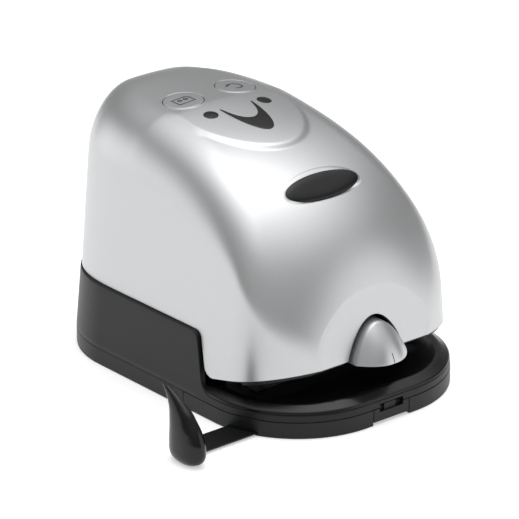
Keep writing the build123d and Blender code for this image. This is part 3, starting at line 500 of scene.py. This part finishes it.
def cover_shell():
    """Grid of arches from the facet to the rear face, joined to the facet's ring round the arch opening."""
    side, edge, top = 28, 20, 38
    part = np.r_[np.zeros(side), np.ones(edge), 2 * np.ones(top + 1)]
    v = np.r_[np.arange(side) / side, np.arange(edge) / edge, np.arange(top + 1) / top]
    low_y, high_y = np.full(v.shape, NOSE_CLOSE + 0.02), np.full(v.shape, FACET_SEARCH)
    for _ in range(48):
        mid = (low_y + high_y) / 2
        x, z = arch_point(mid, part, v)
        ahead = mid < facet_y(z)
        low_y, high_y = np.where(ahead, mid, low_y), np.where(ahead, high_y, mid)
    start = (low_y + high_y) / 2
    # rows lie closer together at both ends and beside the slanting step of the lower edge
    places = np.linspace(0, 1, 4000)
    along = NOSE_CLOSE + (REAR_FACE - NOSE_CLOSE) * places
    need = 0.7
    for centre, spread, weight in ((-33, 6, 2.2), (88, 7, 2.0), (-84, 8, 1.2)):
        need = need + weight * np.exp(-((along - centre) / spread) ** 2)
    total = np.cumsum(need)
    share = np.interp(np.linspace(0, 1, 240), (total - total[0]) / (total[-1] - total[0]), places)
    y = start[None, :] + (REAR_FACE - start[None, :]) * share[:, None]
    x, z = arch_point(y, part[None, :], v[None, :])
    high = (part[None, :] == 2)
    z = np.where(high, surface(x, y), z)
    right = np.stack([x, y, z], axis=-1)
    left = right[:, :-1][:, ::-1] * [-1, 1, 1]
    hood = np.concatenate([right, left], axis=1)
    # rear wall: the last arch drawn in to an upright line that ends a little below its top
    last = hood[-1]
    low = last[0, 2]
    line = low + (last[:, 2] - low) * REAR_LINE
    shares = np.cos(np.linspace(0, math.pi / 2, 9))[1:]
    wall = []
    for s in shares:
        height = line + (last[:, 2] - line) * s
        wall.append(np.stack([last[:, 0] * s, last[:, 1] + REAR_SWELL * (1 - s * s), height], axis=-1))
    hood = np.concatenate([hood, np.stack(wall)])
    count = hood.shape[1]
    # facet: from the hood's first arch to the parabolic arch opening, with a narrow step at its border
    outer = hood[0]
    share = np.cos(np.linspace(0, math.pi, count))
    foot_z = outer[0, 2]
    ring_x = ARCH_HALF * share
    ring_z = foot_z + (ARCH_TOP - foot_z) * (1 - share ** 2) ** ARCH_POWER
    inner = np.stack([ring_x, facet_y(ring_z), ring_z], axis=-1)
    toward = inner - outer
    length = np.linalg.norm(toward, axis=1, keepdims=True)
    border = outer + toward / length * FACET_BORDER + [0, FACET_STEP, 0]
    rows = [border + (inner + [0, FACET_STEP, 0] - border) * s for s in np.linspace(0, 1, 12)]
    facet = np.stack([outer] + rows)
    points = np.concatenate([facet[::-1], hood[1:]])
    faces = grid_faces(points.shape[0], points.shape[1])
    return piece("cover_shell", points, faces, "silver_paint", "housing", ("top_cover",), merge=2e-5)


def cut(target, cutter):
    """Takes one closed form out of another and removes the cutter."""
    tool = modifier(target, "BOOLEAN", "cut", operation="DIFFERENCE", object=cutter, solver="EXACT")
    bpy.context.view_layer.objects.active = target
    bpy.context.view_layer.update()
    bpy.ops.object.modifier_apply(modifier=tool.name)
    bpy.data.objects.remove(cutter)


def thickened(shell):
    """Gives the shell its moulded wall, inwards."""
    tool = modifier(shell, "SOLIDIFY", "wall", thickness=WALL * MM, offset=-1.0, use_even_offset=False,
                    use_rim=True)
    bpy.context.view_layer.objects.active = shell
    bpy.ops.object.modifier_apply(modifier=tool.name)


def cutter(points, faces):
    """A closed form, given in mm, that a later cut takes away."""
    mesh = bpy.data.meshes.new("cutter")
    mesh.from_pydata((points * MM).tolist(), [], faces)
    thing = bpy.data.objects.new("cutter", mesh)
    bpy.context.scene.collection.objects.link(thing)
    return thing


def block_cutter(x0, x1, y0, y1, z0, z1):
    """A rectangular cutter given by its limits."""
    corners = [(x, y, z) for z in (z0, z1) for x, y in ((x0, y0), (x1, y0), (x1, y1), (x0, y1))]
    faces = [(3, 2, 1, 0), (4, 5, 6, 7), (0, 1, 5, 4), (1, 2, 6, 5), (2, 3, 7, 6), (3, 0, 4, 7)]
    return cutter(np.array(corners), faces)


def oval_cutter(x, y, half, rise, low, high, sides=96):
    """An upright oval cutter: the same ring of points at two heights, closed at both ends."""
    angle = np.linspace(0, 2 * math.pi, sides, endpoint=False)
    ring = np.stack([x + half * np.cos(angle), y + rise * np.sin(angle)], axis=-1)
    points = np.concatenate([np.c_[ring, np.full(sides, low)], np.c_[ring, np.full(sides, high)]])
    return cutter(points, ring_faces(2, sides))


def badge_ring(angle, scale=1.0, lift=0.0):
    """An oval in the badge's plane, whose top is sunk below the hood; scaled, and lifted off the plane."""
    along = np.array([0, math.cos(BADGE_SLOPE), math.sin(BADGE_SLOPE)])
    normal = np.array([0, -math.sin(BADGE_SLOPE), math.cos(BADGE_SLOPE)])
    on_hood = np.array([0, BADGE_Y, float(surface(np.array(0.0), np.array(BADGE_Y)))])
    return (on_hood + normal * (lift - BADGE_SINK) + np.outer(BADGE_HALF * scale * np.cos(angle), [1, 0, 0])
            + np.outer(BADGE_RISE * scale * np.sin(angle), along))


def badge_seat():
    """Rim of the badge: rings from an oval on the hood down to the sunk oval of the plate."""
    sides = 160
    angle = np.linspace(0, 2 * math.pi, sides, endpoint=False)
    outer_x = SEAT_HALF * np.cos(angle)
    outer_y = SEAT_Y + SEAT_RISE * np.sin(angle)
    inner = badge_ring(angle)
    lap = 0.03
    on_hood = np.stack([outer_x, outer_y, surface(outer_x, outer_y) + lap], axis=-1)
    rows = []
    for s in np.linspace(0, 1, 12):
        ease = 1 - math.cos(s * math.pi / 2)
        row = on_hood + (inner - on_hood) * s
        row[:, 2] = on_hood[:, 2] + (inner[:, 2] - on_hood[:, 2]) * (0.35 * s + 0.65 * ease)
        rows.append(row)
    rows.append(badge_ring(angle, lift=-1.2))
    rows.append(on_hood * [0.985, 1, 1] - [0, 0, 2.0])
    rows.append(on_hood - [0, 0, lap])
    return piece("badge_seat", np.stack(rows), grid_faces(len(rows), sides, True), "silver_paint", "housing",
                 sharp=60)


def badge():
    """Domed oval plate: an upright edge, then rings from it to the middle, height as 1 - r^4."""
    sides = 128
    angle = np.linspace(0, 2 * math.pi, sides, endpoint=False)
    rows = [(-1.0, BADGE_SHARE), (0.0, BADGE_SHARE)]
    for s in np.linspace(0, 1, 12):
        rows.append((BADGE_LIFT + BADGE_DOME * (1 - (1 - s) ** 4), BADGE_SHARE - BADGE_SHARE * s ** 1.2))
    points = np.stack([badge_ring(angle, scale, lift) for lift, scale in rows])
    return piece("badge_oval", points, ring_faces(len(rows), sides, False), "gloss_black", "housing",
                 ("badge_plate",), sharp=60)


def disc(name, x, y, radius, lift, thick, slot, body, stands_for, dome=0.0, edge=0.35):
    """Round cap that follows the cover's surface: rings inwards from a rounded edge, with a slight dome."""
    sides = 96
    angle = np.linspace(0, 2 * math.pi, sides, endpoint=False)
    rows = [(radius, -thick)]
    for t in np.linspace(0, math.pi / 2, 5):
        rows.append((radius - edge * (1 - math.cos(t)), lift - edge * (1 - math.sin(t))))
    for s in np.linspace(0, 1, 9)[1:]:
        r = (radius - edge) * (1 - s)
        rows.append((r, lift + dome * (1 - (r / radius) ** 2)))
    rings = []
    for r, h in rows:
        px, py = x + r * np.cos(angle), y + r * np.sin(angle)
        rings.append(np.stack([px, py, surface(px, py) + h], axis=-1))
    return piece(name, np.stack(rings), ring_faces(len(rows), sides, False), slot, body, stands_for, sharp=50)


def bead_ring(name, x, y, radius):
    """Raised bead round a hole: a half-round profile carried round a circle on the cover's surface."""
    sides = 128
    angle = np.linspace(0, 2 * math.pi, sides, endpoint=False)
    rows = []
    for t in np.linspace(0, math.pi, 7):
        r = radius + BEAD_HALF * math.cos(t)
        px, py = x + r * np.cos(angle), y + r * np.sin(angle)
        rows.append(np.stack([px, py, surface(px, py) + BEAD_HEIGHT * math.sin(t) - BEAD_SINK], axis=-1))
    rows.append(rows[-1] - [0, 0, BEAD_ROOT])
    rows.append(rows[0] - [0, 0, BEAD_ROOT])
    rows.append(rows[0])
    faces = grid_faces(len(rows), sides, True)
    return piece(name, np.stack(rows), faces, "silver_paint", "housing", sharp=60)


def bezier(points, count):
    """Points along a smooth curve of any order through its control polygon."""
    t = np.linspace(0, 1, count)[:, None]
    control = np.array(points, float)
    order = len(control) - 1
    total = 0
    for i, p in enumerate(control):
        total = total + math.comb(order, i) * t ** i * (1 - t) ** (order - i) * p
    return total


def inlay():
    """Boomerang inlay: two curves joined across its width, laid on the panel with a rounded rim."""
    count, layers = 90, 14
    outer = bezier([(-9.7, 17.2), (-9.6, 4), (-6, -17.5), (6, -17.5), (9.6, 4), (9.7, 17.2)], count)
    inner = bezier([(-9.1, 17.0), (-6.6, 7.5), (-4.6, 1.0), (4.6, 1.0), (6.6, 7.5), (9.1, 17.0)], count)
    across = np.linspace(0, 1, layers)
    grid = outer[None] + (inner - outer)[None] * across[:, None, None]
    x, y = grid[..., 0], grid[..., 1]
    rim = np.minimum(1, np.minimum(across, 1 - across) / INLAY_RIM)[:, None]
    top = np.stack([x, y, surface(x, y) + INLAY_LIFT + INLAY_ROUND * np.sqrt(rim)], axis=-1)
    bottom = np.stack([x, y, surface(x, y) - INLAY_DEPTH], axis=-1)[::-1]
    points = np.concatenate([top, bottom, top[:1]])
    faces = [list(f) for f in grid_faces(*points.shape[:2])]
    starts = [r * count for r in range(2 * layers)]
    ends = [starts, [r + count - 1 for r in starts][::-1]]
    return piece("boomerang_inlay", points, faces + ends, "gloss_black", "housing", ("crescent_inlay",),
                 sharp=60)


def nose_face(x, z):
    """Depth of the nose's face: a leaning edge line less a bulge that fades to the sides and to the top."""
    t = np.clip((z - ARCH_BASE) / (NOSE_TOP - ARCH_BASE), 0, 1)
    half = NOSE_HALF * np.sqrt(np.maximum(1 - t ** 1.11, 1e-6))
    bulge = NOSE_BULGE * (1 - np.clip(np.abs(x) / half, 0, 1) ** 2.3) * (1 - t ** 1.6)
    return NOSE_EDGE + NOSE_LEAN * t - bulge


def nose():
    """Centre guide: a parabolic arch carried forward, then its face as arches that shrink to the middle."""
    share = np.cos(np.linspace(0, math.pi, 121))
    rise = (1 - share ** 2) ** NOSE_RISE
    z = ARCH_BASE + (NOSE_TOP - ARCH_BASE) * rise
    edge = nose_face(NOSE_HALF * share, z)
    rings = []
    for t in np.linspace(0, 1, 8):
        grow = 1 + NOSE_FLARE * (1 - t)
        rings.append(np.stack([NOSE_HALF * grow * share, NOSE_ROOT + (edge + NOSE_SOFT - NOSE_ROOT) * t,
                               ARCH_BASE + (z - ARCH_BASE) * grow], axis=-1))
    for s in np.linspace(0.985, 0.0, 44):
        x, height = NOSE_HALF * s * share, ARCH_BASE + (z - ARCH_BASE) * s
        rings.append(np.stack([x, nose_face(x, height), height], axis=-1))
    points = np.stack(rings)
    rows, sides = points.shape[:2]
    faces = [list(f) for f in grid_faces(rows, sides)]
    border = [r * sides for r in range(rows)] + [r * sides + sides - 1 for r in range(rows)][::-1][1:]
    faces += [border[::-1], list(range(sides))]
    return piece("centre_guide_nose", points, faces, "silver_paint", "housing", ("centre_guide",), sharp=30)


def mark_line():
    """Thin dark line up the middle of the nose's face: a flat bar with bevelled sides, sunk into the face."""
    count = 12
    z = np.linspace(ARCH_BASE + 0.2, ARCH_BASE + MARK_HEIGHT, count)
    crest = nose_face(0 * z, z)
    profile = ((-MARK_HALF, 0.0), (-MARK_TOP, MARK_LIFT), (MARK_TOP, MARK_LIFT), (MARK_HALF, 0.0),
               (MARK_HALF, -MARK_DEPTH), (-MARK_HALF, -MARK_DEPTH), (-MARK_HALF, 0.0))
    rows = [np.column_stack([np.full(count, x), crest - out, z]) for x, out in profile]
    faces = grid_faces(len(rows), count)
    return piece("centre_mark", np.stack(rows), faces, "gloss_black", "housing", material=ink)


def leaf():
    """Finger grip: rounded slices that shrink and sweep back as they rise."""
    slices, sides = 70, 72
    rise = np.linspace(0, 1, slices)
    heights = np.array([0, 0.03, 0.08, 0.16, 0.33, 0.5, 0.72, 0.88, 0.96, 1.0])
    front = np.interp(rise, heights, [5.5, 2.8, 1.2, 0.2, 0.3, 2.9, 8.8, 16.4, 21.6, 25.4])
    back = np.interp(rise, heights, [-4.5, -1.8, -0.5, 0, 0.1, 0.0, 0.6, 2.8, 5.2, 6.9])
    thick = np.interp(rise, heights, [0.55, 0.75, 0.92, 1.0, 0.95, 0.83, 0.6, 0.38, 0.24, 0.12])
    for _ in range(6):
        for values in (front, back, thick):
            values[1:-1] = (values[:-2] + 2 * values[1:-1] + values[2:]) / 4
    angle = np.linspace(0, 2 * math.pi, sides, endpoint=False)
    across = np.sign(np.cos(angle)) * np.abs(np.cos(angle)) ** GRIP_POWER
    along = np.sign(np.sin(angle)) * np.abs(np.sin(angle)) ** GRIP_POWER
    rings = []
    for share, f, b, t in zip(rise, front, back, thick):
        y0, y1 = GRIP_FRONT + f, GRIP_BACK + b
        x = GRIP_X + GRIP_HALF * t * across
        y = (y0 + y1) / 2 + (y1 - y0) / 2 * along
        rings.append(np.stack([x, y, np.full(sides, GRIP_LOW + GRIP_HEIGHT * share)], axis=-1))
    return piece("finger_grip", np.stack(rings), ring_faces(slices, sides), "gloss_black", "paper_guide",
                 ("guide_leaf",), sharp=50)


def printed(name, strokes, x, y, width, body):
    """Generic pictogram: each stroke is a ribbon along a polyline, laid just above a key's top."""
    points, faces = [], []
    for stroke in strokes:
        line = np.array(stroke, float)
        step = np.diff(line, axis=0)
        step = np.concatenate([step[:1], (step[:-1] + step[1:]) / 2, step[-1:]])
        side = np.stack([-step[:, 1], step[:, 0]], axis=-1)
        side = side / np.linalg.norm(side, axis=1, keepdims=True) * width / 2
        base = len(points)
        for edge in (line + side, line - side):
            px, py = x + edge[:, 0], y + edge[:, 1]
            cap = KEY_LIFT + KEY_DOME * (1 - ((px - x) ** 2 + (py - y) ** 2) / KEY_RADIUS ** 2)
            points += np.stack([px, py, surface(px, py) + cap + PRINT_LIFT], axis=-1).tolist()
        n = len(line)
        faces += [[base + i, base + i + 1, base + n + i + 1, base + n + i] for i in range(n - 1)]
    thing = piece(name, np.array(points), faces, "gloss_black", body, material=ink)
    modifier(thing, "SOLIDIFY", "film", thickness=PRINT_FILM * MM, offset=1.0)
    return thing


def arc(cx, cy, radius, start, end, count=14):
    """Points of a circle arc, angles in degrees."""
    return [(cx + radius * math.cos(math.radians(a)), cy + radius * math.sin(math.radians(a)))
            for a in np.linspace(start, end, count)]


def build_cover():
    """The cover with its holes, then what sits in and on it: badge, inlay, nose, keys, lenses and marks."""
    shell = cover_shell()
    thickened(shell)
    low, high = 105, 140
    key_hole, lens_hole = KEY_RADIUS + 0.35, LENS_RADIUS + 0.12
    for side in (-1, 1):
        cut(shell, oval_cutter(side * KEY_X, KEY_Y, key_hole, key_hole, low, high))
        cut(shell, oval_cutter(side * LENS_X, LENS_Y, lens_hole, lens_hole, low, high))
    cut(shell, oval_cutter(0, SEAT_Y, SEAT_HALF - SEAT_LAP, SEAT_RISE - SEAT_LAP, 88.0, 112.0, 120))
    shell.data.shade_smooth()
    shell.data.set_sharp_from_angle(angle=math.radians(38))
    badge_seat()
    badge()
    inlay()
    nose()
    mark_line()
    for side, word, key in ((-1, "left", "punch_button"), (1, "right", "reverse_button")):
        disc(key + "_cap", side * KEY_X, KEY_Y, KEY_RADIUS - 0.05, KEY_LIFT, 4.0, "silver_paint", key, (key,),
             KEY_DOME)
        bead_ring("key_bead_" + word, side * KEY_X, KEY_Y, KEY_RADIUS + BEAD_OUT)
        disc("lens_" + word, side * LENS_X, LENS_Y, LENS_RADIUS, -0.05, 3.0, "smoked_lens", "housing",
             ("indicator_lens_" + word,), 0.25, 0.25)
    sheet = [(-4.6, -3.4), (-4.6, 3.2), (3.2, 3.2), (4.6, 1.4), (4.6, -3.4), (-4.6, -3.4)]
    holes = [arc(x, 0.6, 0.9, 0, 360) for x in (-1.7, 1.7)]
    printed("sheet_mark", [sheet] + holes, -KEY_X, KEY_Y, 0.8, "punch_button")
    turn, head = arc(0, 0, 3.4, 150, -120), [(-4.8, 1.2), (-2.9, 1.9), (-2.2, 3.9)]
    printed("return_mark", [turn, head], KEY_X, KEY_Y, 0.9, "reverse_button")


build_cover()
housing()
leaf()
for name, width in (("bottom_cover", 0.3), ("chip_tray", 0.3), ("tray_latch", 0.3), ("paper_guide_bar", 0.2)):
    softened(name, width)
for name, node in nodes.items():
    node.data.materials.clear()
    node.data.materials.append(finish[slots[name]])


# ---------------------------------------------------------------- studio
def studio():
    """White floor under a dim dome with soft cards: overhead, low front right, low rear left, upper left."""
    size, floor_glow, dome = 6.0, 0.45, 0.27
    mesh = bpy.data.meshes.new("floor")
    corners = [(-size, -size, 0), (size, -size, 0), (size, size, 0), (-size, size, 0)]
    mesh.from_pydata(corners, [], [(0, 1, 2, 3)])
    floor = bpy.data.objects.new("floor", mesh)
    bpy.context.scene.collection.objects.link(floor)
    paper = bpy.data.materials.new("white_paper_sweep")
    paper.use_nodes = True
    tree = paper.node_tree
    shader = tree.nodes["Principled BSDF"]
    shader.inputs["Base Color"].default_value = linear("#ededed")
    shader.inputs["Roughness"].default_value = 0.9
    shader.inputs["Emission Color"].default_value = (1, 1, 1, 1)
    path = add(tree, "ShaderNodeLightPath")
    seen = add(tree, "ShaderNodeMath", {0: path.outputs["Is Camera Ray"], 1: path.outputs["Is Glossy Ray"]},
               operation="MAXIMUM")
    seen = add(tree, "ShaderNodeMath", {0: seen.outputs[0], 1: path.outputs["Is Transmission Ray"]},
               operation="MAXIMUM")
    glow = add(tree, "ShaderNodeMath", {0: seen.outputs[0]}, operation="MULTIPLY")
    glow.inputs[1].default_value = floor_glow
    tree.links.new(glow.outputs[0], shader.inputs["Emission Strength"])
    mesh.materials.append(paper)
    world = bpy.data.worlds.new("studio")
    bpy.context.scene.world = world
    world.use_nodes = True
    tree = world.node_tree
    back = tree.nodes["Background"]
    toward = add(tree, "ShaderNodeTexCoord").outputs["Generated"]
    total = None
    # direction, cosines where each soft card begins and is full, brightness
    cards = (((0.17, 0.05, 0.98), 0.60, 0.97, 1.25), ((0.61, -0.78, 0.14), 0.84, 0.985, 1.1),
             ((-0.54, 0.84, 0.06), 0.80, 0.98, 1.3), ((-0.45, -0.35, 0.82), 0.50, 0.95, 0.25))
    for card, begin, full, power in cards:
        way = Vector(card).normalized()
        near = add(tree, "ShaderNodeVectorMath", {0: toward}, operation="DOT_PRODUCT")
        near.inputs[1].default_value = way
        shine = add(tree, "ShaderNodeMapRange", {"Value": near.outputs["Value"]},
                    interpolation_type="SMOOTHSTEP", in_From_Min=begin, in_From_Max=full, in_To_Max=power)
        if total is None:
            total = add(tree, "ShaderNodeMath", {0: shine.outputs["Result"]}, operation="ADD")
            total.inputs[1].default_value = dome
        else:
            total = add(tree, "ShaderNodeMath", {0: total.outputs[0], 1: shine.outputs["Result"]},
                        operation="ADD")
    tree.links.new(total.outputs[0], back.inputs["Strength"])
    back.inputs["Color"].default_value = (1, 1, 1, 1)


def lamp(name, place, size, power, aim=(0, 0, 0.05)):
    """Soft square lamp aimed at the object."""
    data = bpy.data.lights.new(name, "AREA")
    data.shape = "RECTANGLE"
    data.size, data.size_y = size, size
    data.energy = power
    thing = bpy.data.objects.new(name, data)
    thing.location = place
    thing.rotation_euler = (Vector(aim) - Vector(place)).to_track_quat("-Z", "Y").to_euler()
    bpy.context.scene.collection.objects.link(thing)
    return thing


def camera():
    """Long lens at the photograph's angle: 40 degrees to the left of the front, 22 above the desk."""
    azimuth, elevation, distance = math.radians(40.01), math.radians(22.28), 1.7217
    focal_mm, sensor_mm, shift_right, shift_up = 250.44, 36, 0.001, 0.0018
    target = Vector((0, 0, 0.05))
    away = Vector((-math.sin(azimuth) * math.cos(elevation), -math.cos(azimuth) * math.cos(elevation),
                   math.sin(elevation)))
    data = bpy.data.cameras.new("camera")
    data.lens, data.sensor_width = focal_mm, sensor_mm
    data.shift_x, data.shift_y = shift_right, shift_up
    thing = bpy.data.objects.new("camera", data)
    thing.location = target + away * distance
    thing.rotation_euler = (-away).to_track_quat("-Z", "Y").to_euler()
    bpy.context.scene.collection.objects.link(thing)
    bpy.context.scene.camera = thing


studio()
lamp("overhead", (0.3, 0.1, 1.8), 1.2, 6)
camera()
bpy.context.scene.view_settings.view_transform = "Standard"
